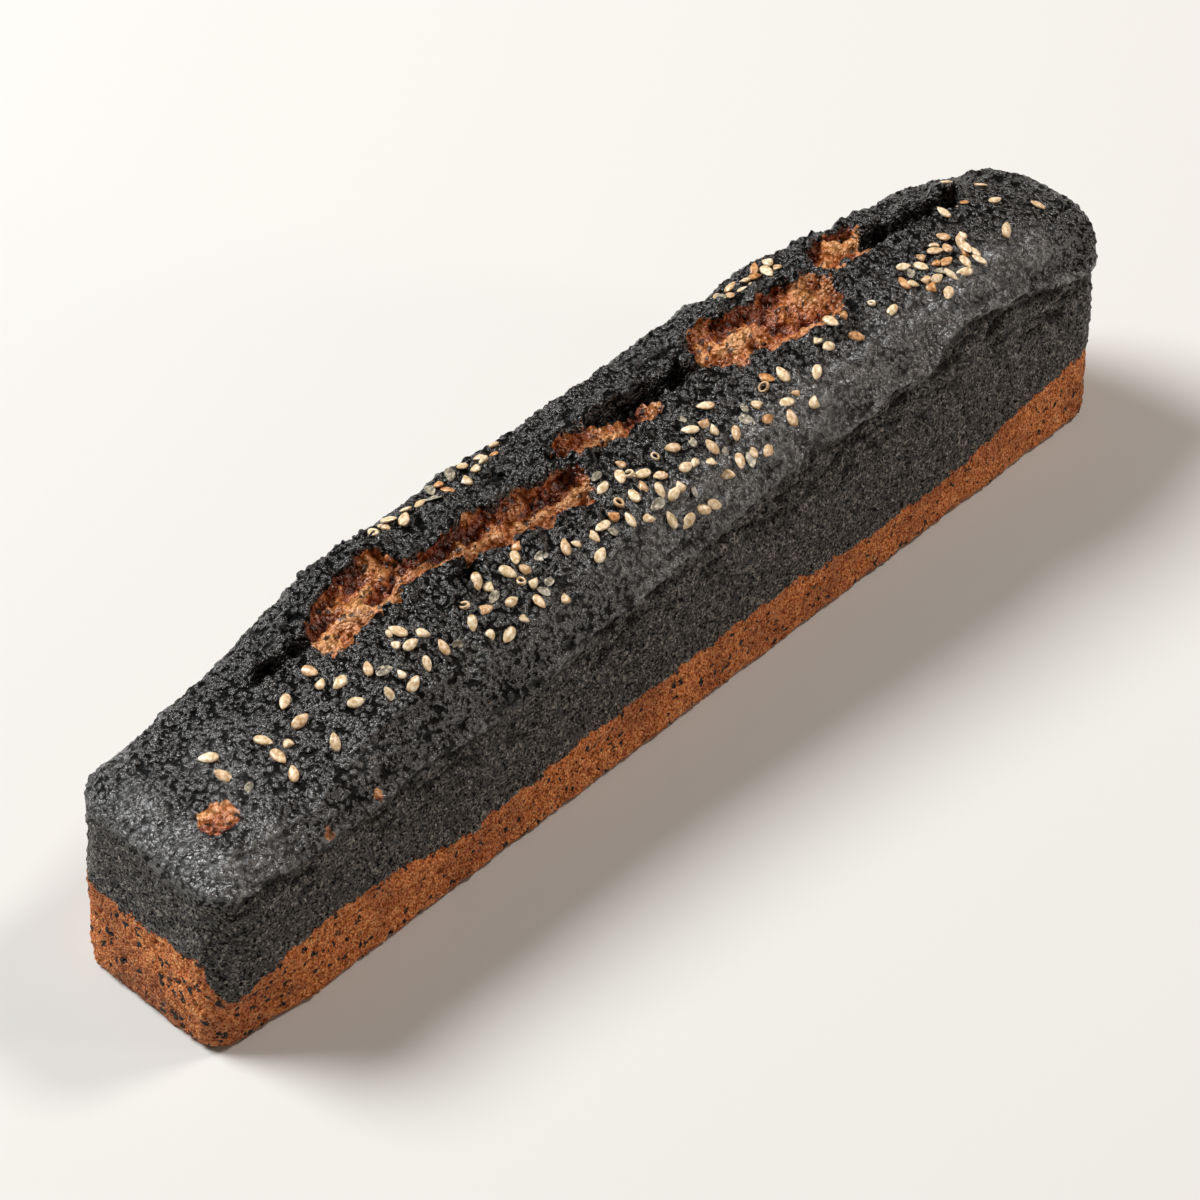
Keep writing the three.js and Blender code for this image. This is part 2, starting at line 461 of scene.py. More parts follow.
def shapeLoaf(blank):
    # All in mm. In ease(x, start, length) a thing comes in along the loaf, from the near end at -109
    # to the far end at 109; in bell(distance, width) it fades to both sides of a line.
    mesh = blank.data
    box = readPlaces(mesh)
    isTop, isBase = box[:, 2] > 0.999, box[:, 2] < 0.001
    x, y, z, edge, wave = smoothForm(box, isTop, isBase)
    places = np.stack([x, y, z], 1)
    writePlaces(mesh, places)
    normals = readNormals(mesh)
    print("loaf: smooth form done")

    top = np.where(isTop, ease(edge, 0.3, 3.5), 0)
    wall = np.where(isBase, 0, 1 - top)
    front, back = rimHeights(x)
    rim = np.where(y < 0, front, back) - loaf["shoulderDrop"] + wave

    # tears: the crumb's craggy floor lies deepest just behind the front edge and climbs to the back
    # edge, where the crust curls over it
    inside, depth, crumb, side = tearField(x, y)
    inside = np.where(isTop, inside, -1e3)
    hollow = ease(inside, -0.3, 1.5)
    crags = unevenness(places, tearShape["cragSize"], 11, 3, stretch=(1.9, 1, 1))
    fineLumps = unevenness(places, tearShape["fineLumpSize"], 12, 2)
    middleRidge = bell(side + 0.1 + 0.2 * crags, 0.2)
    slope = 1.0 - tearShape["backRise"] * ease(side, -0.5, 1.4)
    slope = slope - tearShape["frontRise"] * ease(-side, 0.5, 0.45)
    crumbRelief = tearShape["crags"] * crags + tearShape["fineLumps"] * fineLumps + middleRidge
    floorDepth = depth * np.where(crumb > 0.5, slope, 1) - crumb * crumbRelief
    lipLumps = 1 + tearShape["lipLumps"] * unevenness(places, tearShape["lipLumpSize"], 13)
    lipHeight = np.where(side > 0, tearShape["backLip"], tearShape["frontLip"])
    lipRise = bell(inside + 1.0, 1.3) * lipLumps * lipHeight
    overhang = bell(inside + 0.5, 1.0) * np.clip(side, 0, 1)
    undercut = bell(inside - 1.0, 0.8) * np.clip(side, 0, 1)
    z = z - hollow * np.maximum(floorDepth, tearShape["shallowest"]) + lipRise
    y = y - tearShape["overhang"] * overhang + tearShape["undercut"] * undercut

    # crust: broad swelling, lumps with creases between, knobbly grain, burst bubbles, and wrinkles
    # along the slope down to the rim
    size, onTop, onWall = crustRelief["size"], crustRelief["top"], crustRelief["wall"]
    swelling = unevenness(places, size["swelling"], 21, 3)
    creases = 0.4 - np.abs(unevenness(places, size["creases"], 24, 2))
    knobs = 0.62 - np.sqrt(cells(places, size["knobs"], 22) ** 2 + 0.09)  # domes, not points
    grains = unevenness(places, size["grains"], 23, 2)
    wrinkles = unevenness(places, size["wrinkles"], 25, 2, stretch=(5, 1, 1)) * bell(edge - 4, 3.5)
    nearTear = bell(np.clip(-inside, 0, None), 5)
    lively = 0.3 + 0.9 * nearTear + 0.25 * ease(x, -75, 40) - 0.25 * ease(x, 82, 15)
    lumps = -onTop["creases"] * creases + onTop["knobs"] * knobs
    roughTop = onTop["swelling"] * swelling + lively * lumps + onTop["grains"] * grains
    roughTop = roughTop + onTop["wrinkles"] * wrinkles
    roughWall = onWall["swelling"] * swelling + onWall["knobs"] * knobs + onWall["grains"] * grains
    topPits = pitField(places, crustRelief["topPits"], 31, (-108, 108), (-17, 17), (34, 52))
    wallPits = pitField(places, crustRelief["wallPits"], 32, (-111, 111), (-19, 19), (0, 46))
    relief = top * (1 - hollow) * roughTop + wall * roughWall
    relief = relief - crustRelief["topPits"]["depth"] * top * topPits
    relief = relief - crustRelief["wallPits"]["depth"] * wall * wallPits

    # marks dragged along the upper walls as the batter climbed the pan
    fromRim = z - rim
    upper = wall * ease(z, 14, 18) * (1 - ease(fromRim, 1.5, 3))
    longSide = np.abs(normals[:, 1]) ** 3
    drag = unevenness(places, rimShape["dragMarkSize"], 41, 2, stretch=(4, 4, 1.0))
    dragDepth = rimShape["dragMarks"] * np.clip(drag - 0.1, 0, None) * ease(fromRim, -22, 16)
    relief = relief - upper * longSide * dragDepth

    # the rim stands a little proud as a bead, and past the middle of the front it spilled over the
    # pan, with a groove under it
    spill = wall * (0.45 + 0.55 * ease(x, 5, 40)) * np.where(y < 0, 1, rimShape["backSpill"])
    spill = spill * longSide
    bulge = 0.8 + 0.5 * unevenness(places, 8, 42)
    bead = rimShape["bead"] * bell(fromRim - 0.2, 1.3)
    groove = rimShape["groove"] * bell(fromRim + rimShape["grooveBelow"], 1.4)
    relief = relief + spill * bulge * (bead - groove)

    relief = np.where(isBase, 0, relief) * ease(z, 0, 1.0)
    places = np.stack([x, y, z], 1) + normals * relief[:, None]
    places[:, 2] = np.maximum(places[:, 2], 0)
    places[isBase, 2] = 0
    writePlaces(mesh, places * mm)
    print("loaf: crust, tears and pan marks done")

    # what the material reads: the height above the batter line, how far a point lies in open crumb,
    # the spots of batter, the hollows painted near black, and where the painted sheen and film of oil go
    along, heights = zip(*batterLine)
    frontLine = np.interp(x, along, heights)
    backLine = batterAtBack + 1.8 * np.sin(x / 17) + 0.9 * np.sin(x / 6.1)
    backLine = np.where(x < -90, batterAtNearBack, backLine)
    line = frontLine + (backLine - frontLine) * ease(y, -17.5, 6)
    line = line + 0.8 * unevenness(places, 4.5, 51, 2)
    spots = np.full(len(x), -10.0)
    for middle, radius in batterSpots:
        away = np.linalg.norm((places - np.array(middle)) * np.array((1, 1, 0.6)), axis=1)
        spots = np.maximum(spots, radius * (1 + 0.15 * fineLumps) - away)
    setAttribute(mesh, "aboveBatter", np.clip(places[:, 2] - line, -20, 20))
    setAttribute(mesh, "intoCrumb", np.clip(np.where(crumb > 0.5, inside, -10), -10, 10))
    setAttribute(mesh, "batterSpot", spots)
    tornEdge = bell(inside - 0.9, 0.9) * np.clip(0.45 - 1.3 * side, 0, 1)
    setAttribute(mesh, "tornEdge", np.where(crumb > 0.5, tornEdge, 0))
    # the crumb's height, which the material turns into painted light on high lumps and painted shade in
    # the lows
    setAttribute(mesh, "crumbRise", np.clip(0.42 + 0.32 * crumbRelief, 0, 1))
    # painted shade: near black deep in the crustless ditches and under the rim's lip, with dark dashes
    # along the drag marks
    ditch = hollow * (1 - crumb) * np.clip(inside, 0, 2) / 2
    dashes = 0.75 * upper * longSide * ease(drag, 0.2, 0.3) * ease(fromRim, -17, 8)
    underLipShade = 0.9 * spill * bell(fromRim + 2.9, 1.3) * ease(bulge, 0.5, 0.6)
    setAttribute(mesh, "hollow", np.clip(np.maximum(np.maximum(ditch, dashes), underLipShade), 0, 1))
    # painted sheen: where the grey painted highlight goes, on the front slope, along the near end and on
    # the rim's bead; the film of oil and the gentler bumps follow it too
    frontSlope = bell(edge - 3.8, 4.2) * (y < 0) * (0.35 + 0.85 * ease(x, -45, 60))
    frontSlope = frontSlope * (1 - 0.8 * ease(x, 88, 14))
    endSlope = 0.8 * bell(edge - 2.8, 3.4) * ease(-x, 84, 12) + 0.4 * ease(-x, 66, 30)
    endSlope = endSlope * (1 - 0.7 * ease(y, 5, 9))
    rimBead = wall * bell(fromRim - 0.1, 1.0) * (0.5 + 0.5 * ease(x, 0, 30))
    patchy = 0.85 + 0.45 * unevenness(places, 7, 52, 2)
    sheen = (isTop * np.maximum(frontSlope, endSlope) + rimBead) * patchy
    setAttribute(mesh, "sheen", np.clip(sheen, 0, 1))
    setAttribute(mesh, "risenTop", np.clip(top + wall * ease(fromRim, -2.5, 2.5), 0, 1))
    smoothFaces(mesh)


# node kinds and settings that the materials use again and again
noiseNode, cellNode = "ShaderNodeTexNoise", "ShaderNodeTexVoronoi"
mathNode, rangeNode = "ShaderNodeMath", "ShaderNodeMapRange"
mixNode, rampNode, bumpNode = "ShaderNodeMix", "ShaderNodeValToRGB", "ShaderNodeBump"
smooth = {"interpolation_type": "SMOOTHSTEP"}  # takes a value and its range 1 to 2 to the range 3 to 4
times, timesPlus = {"operation": "MULTIPLY"}, {"operation": "MULTIPLY_ADD"}
plus, larger = {"operation": "ADD"}, {"operation": "MAXIMUM"}
colours = {"data_type": "RGBA"}  # share 0 of colour 7 over colour 6, on output 2
tint = {"data_type": "RGBA", "blend_type": "MULTIPLY"}

cakeColours = {
    "topCrust": [(0.34, "#050505"), (0.48, "#0f0f0f"), (0.6, "#1f1f1f"), (0.72, "#454545")],
    # the wall crust runs lighter than the top's: partly the pan-baked walls' greyer tone, partly painted
    # light standing in for the light they lack
    "wallCrust": [(0.34, "#0a0908"), (0.46, "#232120"), (0.57, "#44413d"), (0.68, "#928c84")],
    # painted shade between the crust's grains
    "gap": "#000000",
    # painted sheen: a flat grey that stands in for the highlight on the sloping crust
    "paintedSheenGrey": "#7a7b7c",
    "batter": [(0.34, "#5c2710"), (0.44, "#ad5626"), (0.54, "#d97d3a"), (0.68, "#efb475")],
    "batterDark": "#7a3a1a",
    # crumb, from its lows to its high lumps: painted shade to painted light over its orange
    "crumb": [(0.05, "#501d0b"), (0.3, "#98481d"), (0.55, "#c67536"), (0.85, "#e2a469")],
    "crumbOchre": "#d6b26c",
    # painted shade in the crumb's pores
    "crumbPoreShade": "#2b1007",
    "tornEdge": "#c58252",
    "blackSeed": "#120f0d",
    "ditch": "#060505",
}
cakeGloss = {
    # roughness from the smoothest grains to the dullest, in the gaps, and of the film of oil
    "topCrust": (0.13, 0.3),
    "wallCrust": (0.24, 0.42),
    "batter": (0.5, 0.8),
    "crumb": (0.2, 0.45),
    "gap": 0.6,
    "oilFilm": 0.14,
}
cakeGrain = {
    # sizes in mm: four speckles from fine to broad, the wall's tight grains, the top's single and
    # clumped grains, the black seed flecks and the bending of their outlines; then the depth of the
    # grit
    "speckles": (0.42, 1.0, 2.6, 12),
    "tight": 0.44,
    "single": 0.65,
    "clumped": 1.15,
    "flecks": 1.7,
    "fleckBend": 1.2,
    "bump": 0.5,
}


def makeCakeMaterial():
    # Baked sponge: a black sesame batter with an oily, gritty crust over an orange batter, and the
    # moist orange crumb in the tears. Sugar and flour grains of 0.3 to 1.5 mm give the eye glints
    # on black, sandy speckle on the orange, and wet highlights in the crumb. The finest grains are
    # drawn about twice their real size so that they show.
    material, tree, shader = newMaterial("bakedSesameSponge")
    plain = {name: hexToLinear(code) for name, code in cakeColours.items() if isinstance(code, str)}
    place = addNode(tree, "ShaderNodeTexCoord", output="Object")
    layer = {name: addNode(tree, "ShaderNodeAttribute", {"attribute_name": name}, output="Fac")
             for name in ("aboveBatter", "intoCrumb", "batterSpot", "tornEdge", "crumbRise",
                          "hollow", "sheen", "risenTop")}
    fine, medium, coarse, broad = [
        addNode(tree, noiseNode, None, {"Vector": place, "Scale": perSize(size), "Detail": 3,
                                        "Roughness": 0.6})
        for size in cakeGrain["speckles"]]
    tight, single, clumped = [
        addNode(tree, cellNode, None, {"Vector": place, "Scale": perSize(cakeGrain[name])})
        for name in ("tight", "single", "clumped")]
    isClump = addNode(tree, rangeNode, smooth, {0: coarse, 1: 0.46, 2: 0.56})
    clumping = addNode(tree, rangeNode, smooth, {0: layer["risenTop"], 3: 0.25, 4: 1.0})
    isClump = addNode(tree, mathNode, times, {0: isClump, 1: clumping})
    smallGrain = addNode(tree, mixNode, None, {0: layer["risenTop"], 2: tight, 3: single})
    fromGrain = addNode(tree, mixNode, None, {0: isClump, 2: smallGrain, 3: clumped})
    grainShade = addNode(tree, mixNode, colours, {
        0: isClump, 6: single.node.outputs["Color"], 7: clumped.node.outputs["Color"]}, 2)

    # each grain is a small dome that catches its own glint; a clump's domes are larger
    dome = addNode(tree, mathNode, times, {0: fromGrain, 1: fromGrain})
    domeHeight = addNode(tree, rangeNode, smooth, {0: isClump, 3: -1.0, 4: -1.7})
    dome = addNode(tree, mathNode, times, {0: dome, 1: domeHeight})
    grit = addNode(tree, mathNode, timesPlus, {0: fine, 1: 0.8, 2: dome})
    grit = addNode(tree, mathNode, timesPlus, {0: medium, 1: 0.8, 2: grit})
    # 1 in the gaps between grains, where painted shade goes
    gap = addNode(tree, rangeNode, smooth, {0: grit, 1: 0.52, 2: 0.24})

    # black crust, with a painted grey sheen, a painted highlight, where it slopes down to the rim
    # the crust's grey specks: partly the grains' own tone and partly painted glints
    tone = addNode(tree, mathNode, times, {0: fine, 1: 0.75})
    tone = addNode(tree, mathNode, timesPlus, {0: grainShade, 1: 0.3, 2: tone})
    # wall and top copies of the crust's colours; the walls' lighter copy is partly painted light
    onWall = addNode(tree, rampNode, None, {0: tone}, stops=cakeColours["wallCrust"])
    onTop = addNode(tree, rampNode, None, {0: tone}, stops=cakeColours["topCrust"])
    crust = addNode(tree, mixNode, colours, {0: layer["risenTop"], 6: onWall, 7: onTop}, 2)
    paintedSheenShare = addNode(tree, rangeNode, smooth, {0: medium, 1: 0.42, 2: 0.6, 3: 0.04, 4: 0.7})
    paintedSheenShare = addNode(tree, mathNode, times, {0: paintedSheenShare, 1: layer["sheen"]})
    crust = addNode(tree, mixNode, colours, {0: paintedSheenShare, 6: crust, 7: plain["paintedSheenGrey"]}, 2)
    # painted shade between the grains, less of it where the sheen is and a little less on the walls
    gapShade = addNode(tree, rangeNode, smooth, {0: layer["sheen"], 3: 0.9, 4: 0.5})
    gapShade = addNode(tree, mathNode, times, {0: gapShade, 1: gap})
    gapOnWall = addNode(tree, rangeNode, smooth, {0: layer["risenTop"], 3: 0.88, 4: 1.0})
    gapShade = addNode(tree, mathNode, times, {0: gapShade, 1: gapOnWall})
    crust = addNode(tree, mixNode, colours, {0: gapShade, 6: crust, 7: plain["gap"]}, 2)

    # orange batter: sandy grains, browned in places, painted shade in the gaps between grains, with
    # ragged flecks of black sesame
    batterTone = addNode(tree, mathNode, times, {0: fine, 1: 0.6})
    batterTone = addNode(tree, mathNode, timesPlus, {0: medium, 1: 0.45, 2: batterTone})
    batter = addNode(tree, rampNode, None, {0: batterTone}, stops=cakeColours["batter"])
    # browned in broad patches, and darker in the gaps between grains as painted shade
    brownedAndGapShade = addNode(tree, rangeNode, smooth, {0: broad, 1: 0.45, 2: 0.65, 4: 0.45})
    brownedAndGapShade = addNode(tree, mathNode, timesPlus, {0: gap, 1: 0.4, 2: brownedAndGapShade})
    batter = addNode(tree, mixNode, colours, {0: brownedAndGapShade, 6: batter, 7: plain["batterDark"]}, 2)
    bend = addNode(tree, noiseNode, None, {"Vector": place, "Scale": perSize(cakeGrain["fleckBend"])},
                   "Color")
    bent = addNode(tree, "ShaderNodeVectorMath", timesPlus, {0: bend, 1: (2.4 * mm,) * 3, 2: place})
    fromFleck = addNode(tree, cellNode, None, {"Vector": bent, "Scale": perSize(cakeGrain["flecks"])})
    fleckChance = addNode(tree, rangeNode, smooth, {
        0: fromFleck.node.outputs["Color"], 1: 0.46, 2: 0.5})
    fromFleck = addNode(tree, mathNode, timesPlus, {0: fine, 1: 0.4, 2: fromFleck})
    fleck = addNode(tree, rangeNode, smooth, {0: fromFleck, 1: 0.62, 2: 0.5})
    fleck = addNode(tree, mathNode, times, {0: fleck, 1: fleckChance})
    batter = addNode(tree, mixNode, colours, {0: fleck, 6: batter, 7: plain["blackSeed"]}, 2)

    # open crumb: painted light on its high lumps and painted shade between them, palest on the torn edge
    crumbTone = addNode(tree, mathNode, timesPlus, {0: fine, 1: 0.7, 2: -0.35})
    crumbTone = addNode(tree, mathNode, plus, {0: crumbTone, 1: layer["crumbRise"]})
    crumb = addNode(tree, rampNode, None, {0: crumbTone}, stops=cakeColours["crumb"])
    ochre = addNode(tree, rangeNode, smooth, {0: coarse, 1: 0.5, 2: 0.66, 4: 0.4})
    crumb = addNode(tree, mixNode, tint, {0: ochre, 6: crumb, 7: plain["crumbOchre"]}, 2)
    # over the crumb: the pale torn edge, painted shade in the pores between lumps, and black sesame
    # flecks
    for cover, share, name in ((layer["tornEdge"], 0.75, "tornEdge"), (gap, 0.5, "crumbPoreShade"),
                               (fleck, 0.85, "blackSeed")):
        cover = addNode(tree, mathNode, times, {0: cover, 1: share})
        crumb = addNode(tree, mixNode, colours, {
            0: cover, 6: crumb, 7: plain[name]}, 2)

    # where each one shows, along ragged lines
    ragged = addNode(tree, mathNode, times, {0: coarse, 1: 2.0})
    ragged = addNode(tree, mathNode, timesPlus, {0: medium, 1: 2.6, 2: ragged})
    isBlack = addNode(tree, mathNode, plus, {0: ragged, 1: layer["aboveBatter"]})
    isBlack = addNode(tree, rangeNode, smooth, {0: isBlack, 1: 2.2, 2: 2.45})
    isCrumb = addNode(tree, mathNode, plus, {0: ragged, 1: layer["intoCrumb"]})
    isCrumb = addNode(tree, rangeNode, smooth, {0: isCrumb, 1: 2.35, 2: 2.6})
    isSpot = addNode(tree, mathNode, timesPlus, {0: medium, 1: 0.8, 2: layer["batterSpot"]})
    isSpot = addNode(tree, rangeNode, smooth, {0: isSpot, 1: 0.35, 2: 0.6})
    isCrumb = addNode(tree, mathNode, larger, {0: isCrumb, 1: isSpot})
    colour = addNode(tree, mixNode, colours, {0: isBlack, 6: batter, 7: crust}, 2)
    colour = addNode(tree, mixNode, colours, {0: isCrumb, 6: colour, 7: crumb}, 2)
    # the hollows darkened to near black: painted shade in the ditches and under the lip, and the drag
    # marks' dashes
    ditch = addNode(tree, mathNode, times, {0: layer["hollow"], 1: 0.85})
    colour = addNode(tree, mixNode, colours, {0: ditch, 6: colour, 7: plain["ditch"]}, 2)

    # gloss: oily grains on the crust, none of it in the gaps between them
    gloss = {name: addNode(tree, rangeNode, smooth, {
        0: fine, 1: 0.35, 2: 0.65, 3: cakeGloss[name][0], 4: cakeGloss[name][1]})
        for name in ("topCrust", "wallCrust", "batter", "crumb")}
    roughness = addNode(tree, mixNode, None, {
        0: layer["risenTop"], 2: gloss["wallCrust"], 3: gloss["topCrust"]})
    roughness = addNode(tree, mixNode, None, {0: gap, 2: roughness, 3: cakeGloss["gap"]})
    roughness = addNode(tree, mixNode, None, {0: isBlack, 2: gloss["batter"], 3: roughness})
    roughness = addNode(tree, mixNode, None, {0: isCrumb, 2: roughness, 3: gloss["crumb"]})
    # specular is turned down under the painted shade in gaps and hollows, standing in for their shade
    shaded = addNode(tree, mathNode, larger, {0: gapShade, 1: layer["hollow"]})
    glint = addNode(tree, rangeNode, smooth, {0: shaded, 3: 1.0, 4: 0.05})
    oilFilm = addNode(tree, mathNode, times, {0: layer["sheen"], 1: glint})
    dullWall = addNode(tree, rangeNode, smooth, {0: layer["risenTop"], 3: 0.5, 4: 1.0})
    glint = addNode(tree, mathNode, times, {0: glint, 1: dullWall})
    bumpStrength = addNode(tree, rangeNode, smooth, {
        0: layer["sheen"], 1: 0.1, 2: 0.9, 3: 0.95, 4: 0.9})
    bump = addNode(tree, bumpNode, None, {
        "Strength": bumpStrength, "Distance": cakeGrain["bump"] * mm, "Height": grit})
    fillInputs(tree, shader, {
        "Base Color": colour, "Roughness": roughness, "Normal": bump, "Specular IOR Level": glint,
        "Coat Weight": oilFilm, "Coat Normal": bump, "Coat Roughness": cakeGloss["oilFilm"]})
    return material


def makeLoaf():
    piece = modelLoafBlank()
    print("loaf: blank modelled,", len(piece.data.polygons), "faces")
    shapeLoaf(piece)
    piece.data.materials.append(makeCakeMaterial())
    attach(piece, "root")
    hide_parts("loaf")
    return piece


seed = {
    "length": 3.4,
    "width": 2.05,
    "thickness": 0.8,
    "around": 12,
    "rings": 8,
    "tipTaper": 0.42,  # how much narrower the tip is
    "bluntness": 1.1,  # how full the other end is
    "sink": 0.15,  # how far a seed sits into the crust
    "mottle": 0.65,
    "cream": [(0.35, "#bfa378"), (0.47, "#d8c19a"), (0.58, "#ead8b8"), (0.72, "#f8f0df")],
    "toasted": [(0.35, "#8a5022"), (0.5, "#b97a3e"), (0.65, "#d29c60"), (0.8, "#e3bd8c")],
    "skin": [(0.35, "#5f5a4e"), (0.5, "#8b8473"), (0.62, "#b8af9a"), (0.76, "#e8dfca")],
    "rimShadeColour": "#7d5a30",
    "roughness": 0.32,
    "skinRoughness": 0.35,
    # how brown the frame's seeds and the others got, and the share of each
    "toast": {"levels": (0.0, 0.15, 0.35, 0.8), "shares": (0.45, 0.3, 0.17, 0.08)},
    "moreToast": {"levels": (0.0, 0.2, 0.5, 0.9), "shares": (0.5, 0.25, 0.15, 0.1)},
}
# Seeds between the ones that the frame holds: each patch's middle and half sizes, along and across,
# and how many whole seeds, cut bits and empty hulls fell there.
sprinkles = [
    ((-80, -2), (13, 7), (1, 2, 1)),
    ((-58, -6), (8, 4), (2, 4, 2)),
    ((-37, -9), (9, 5), (4, 7, 6)),
    ((-31, 12.5), (14, 1.6), (3, 8, 4)),
    ((-14, -8), (9, 5), (2, 5, 8)),
    ((3, -10), (11, 6), (7, 5, 6)),
    ((22, -11), (9, 4), (3, 3, 3)),
    ((42, 11.5), (7, 1.6), (3, 4, 1)),
    ((44, -9.5), (12, 3), (2, 2, 1)),
    ((69, -9), (7, 4), (6, 5, 2)),
    ((75, -8), (3, 3), (5, 2, 0)),
    ((96, 1), (10, 9), (3, 1, 0)),
]

# How each kind lies: how clear of its neighbours in mm, its tilt, size and lift off the crust.
scatter = {
    "frame_seeds": {"tilt": (-0.2, 0.2), "size": (0.84, 1.02)},
    "more_seeds": {"gap": 2.3, "tilt": (-0.3, 0.3), "size": (0.8, 1.0), "lift": 0.27},
    "seed_bits": {"gap": 1.7, "tilt": (-0.3, 0.3), "size": (0.75, 1.05), "lift": 0.2},
    "seed_hulls": {"gap": 1.6, "tilt": (-0.3, 0.3), "size": (0.6, 0.95), "lift": 0.12},
    "rings": {"gap": 1.6, "tilt": (0.2, 0.9), "size": (0.8, 1.15), "lift": 0.3},
}
ringShare = 0.28  # of the hulls, how many are curled rings seen end on
hull = {"thickness": 0.22, "curl": 0.22, "widening": 1.08}  # from a whole seed; the curl in mm
hullRing = {"radius": 0.62, "skin": 0.17, "stretch": (1.3, 1, 2.2)}


def modelSeed():
    # a hulled sesame seed: a flat drop, blunt at -X and drawn to a point at +X
    deselectAll()
    bpy.ops.mesh.primitive_uv_sphere_add(
        segments=seed["around"], ring_count=seed["rings"], radius=0.5,
        rotation=(0, math.pi / 2, 0), location=(0, 0, 0))
    piece = bpy.context.object
    bpy.ops.object.transform_apply()
    setMode("EDIT")
    bpy.ops.mesh.select_all(action="DESELECT")
    setMode("OBJECT")
    levels = sorted({round(v.co.x, 4) for v in piece.data.vertices})
    for level in levels[1:-1]:
        # each ring narrows towards the tip
        narrowing = 1 - seed["tipTaper"] * max(0, (level + 0.1) / 0.6) ** 1.4
        if level < -0.3:
            narrowing = 1 + seed["bluntness"] * (-level - 0.3)
        for vertex in piece.data.vertices:
            vertex.select = abs(vertex.co.x - level) < 1e-3
        setMode("EDIT")
        bpy.ops.transform.resize(value=(1, narrowing, narrowing), center_override=(level, 0, 0))
        setMode("OBJECT")
    setMode("EDIT")
    bpy.ops.mesh.select_all(action="SELECT")
    bpy.ops.transform.resize(
        value=(seed["length"] * mm, seed["width"] * mm, seed["thickness"] * mm),
        center_override=(0, 0, 0))
    setMode("OBJECT")
    smoothFaces(piece.data)
    return piece


def modelSeedBit(pattern, cutAngle):
    # part of a seed, cut clean across
    deselectAll()
    piece = pattern.copy()
    piece.data = pattern.data.copy()
    bpy.context.scene.collection.objects.link(piece)
    bpy.context.view_layer.objects.active = piece
    piece.select_set(True)
    setMode("EDIT")
    bpy.ops.mesh.select_all(action="SELECT")
    bpy.ops.mesh.bisect(plane_co=(0.1 * mm, 0, 0), use_fill=True, clear_outer=True,
                        plane_no=(math.cos(cutAngle), math.sin(cutAngle), 0.15))
    setMode("OBJECT")
    return piece


def modelHull(pattern):
    # an empty skin, nearly flat and curled up a little at its sides
    deselectAll()
    piece = pattern.copy()
    piece.data = pattern.data.copy()
    bpy.context.scene.collection.objects.link(piece)
    for vertex in piece.data.vertices:
        curl = (vertex.co.y / (seed["width"] * mm / 2)) ** 2 * hull["curl"] * mm
        vertex.co.z = vertex.co.z * hull["thickness"] + curl
        vertex.co.y *= hull["widening"]
    return piece


def modelHullRing():
    # a curled bit of skin seen end on
    deselectAll()
    bpy.ops.mesh.primitive_torus_add(
        major_radius=hullRing["radius"] * mm, minor_radius=hullRing["skin"] * mm,
        major_segments=14, minor_segments=6)
    piece = bpy.context.object
    setMode("EDIT")
    bpy.ops.transform.resize(value=hullRing["stretch"], center_override=(0, 0, 0))
    setMode("OBJECT")
    smoothFaces(piece.data)
    return piece


def modelCrumb():
    # a loose black crumb
    deselectAll()
    bpy.ops.mesh.primitive_ico_sphere_add(subdivisions=2, radius=0.5 * mm)
    piece = bpy.context.object
    places = readPlaces(piece.data) / mm
    places *= (1 + 0.28 * unevenness(places, 0.5, 61, 2))[:, None]
    writePlaces(piece.data, places * mm)
    return piece


def crustFinder(cake):
    # finds the point of the crust under a place of the plan
    mesh = cake.data
    corners = [v.co.copy() for v in mesh.vertices]
    return BVHTree.FromPolygons(corners, [tuple(f.vertices) for f in mesh.polygons])


def seedPose(surface, x, y, heading, lift, tilt=0.0):
    # Lies flat on the crust at a point of the plan, its tip pointing along heading. The crust's slope
    # is the mean of the slopes there and a little to each side.
    startHeight, reach = 80 * mm, 1.2
    down = Vector((0, 0, -1))
    place, normal, _, _ = surface.ray_cast(Vector((x * mm, y * mm, startHeight)), down)
    for dx, dy in ((reach, 0), (-reach, 0), (0, reach), (0, -reach)):
        start = Vector(((x + dx) * mm, (y + dy) * mm, startHeight))
        _, other, _, _ = surface.ray_cast(start, down)
        if other is not None:
            normal = normal + other
    normal.normalize()
    turn = Vector((0, 0, 1)).rotation_difference(normal).to_matrix().to_4x4()
    spin = Matrix.Rotation(heading, 4, "Z") @ Matrix.Rotation(tilt, 4, "Y")
    return Matrix.Translation(place + normal * lift * mm) @ turn @ spin


def placedCopy(pattern, name, pose, size=1.0):
    copy = pattern.copy()
    copy.data = pattern.data.copy()
    copy.name = name
    copy.data.name = name
    copy.data.transform(pose @ Matrix.Scale(size, 4))
    bpy.context.scene.collection.objects.link(copy)
    return copy


def joinPieces(parts, name):
    deselectAll()
    for part in parts:
        part.select_set(True)
    bpy.context.view_layer.objects.active = parts[0]
    bpy.ops.object.join()
    parts[0].name = name
    parts[0].data.name = name
    return parts[0]


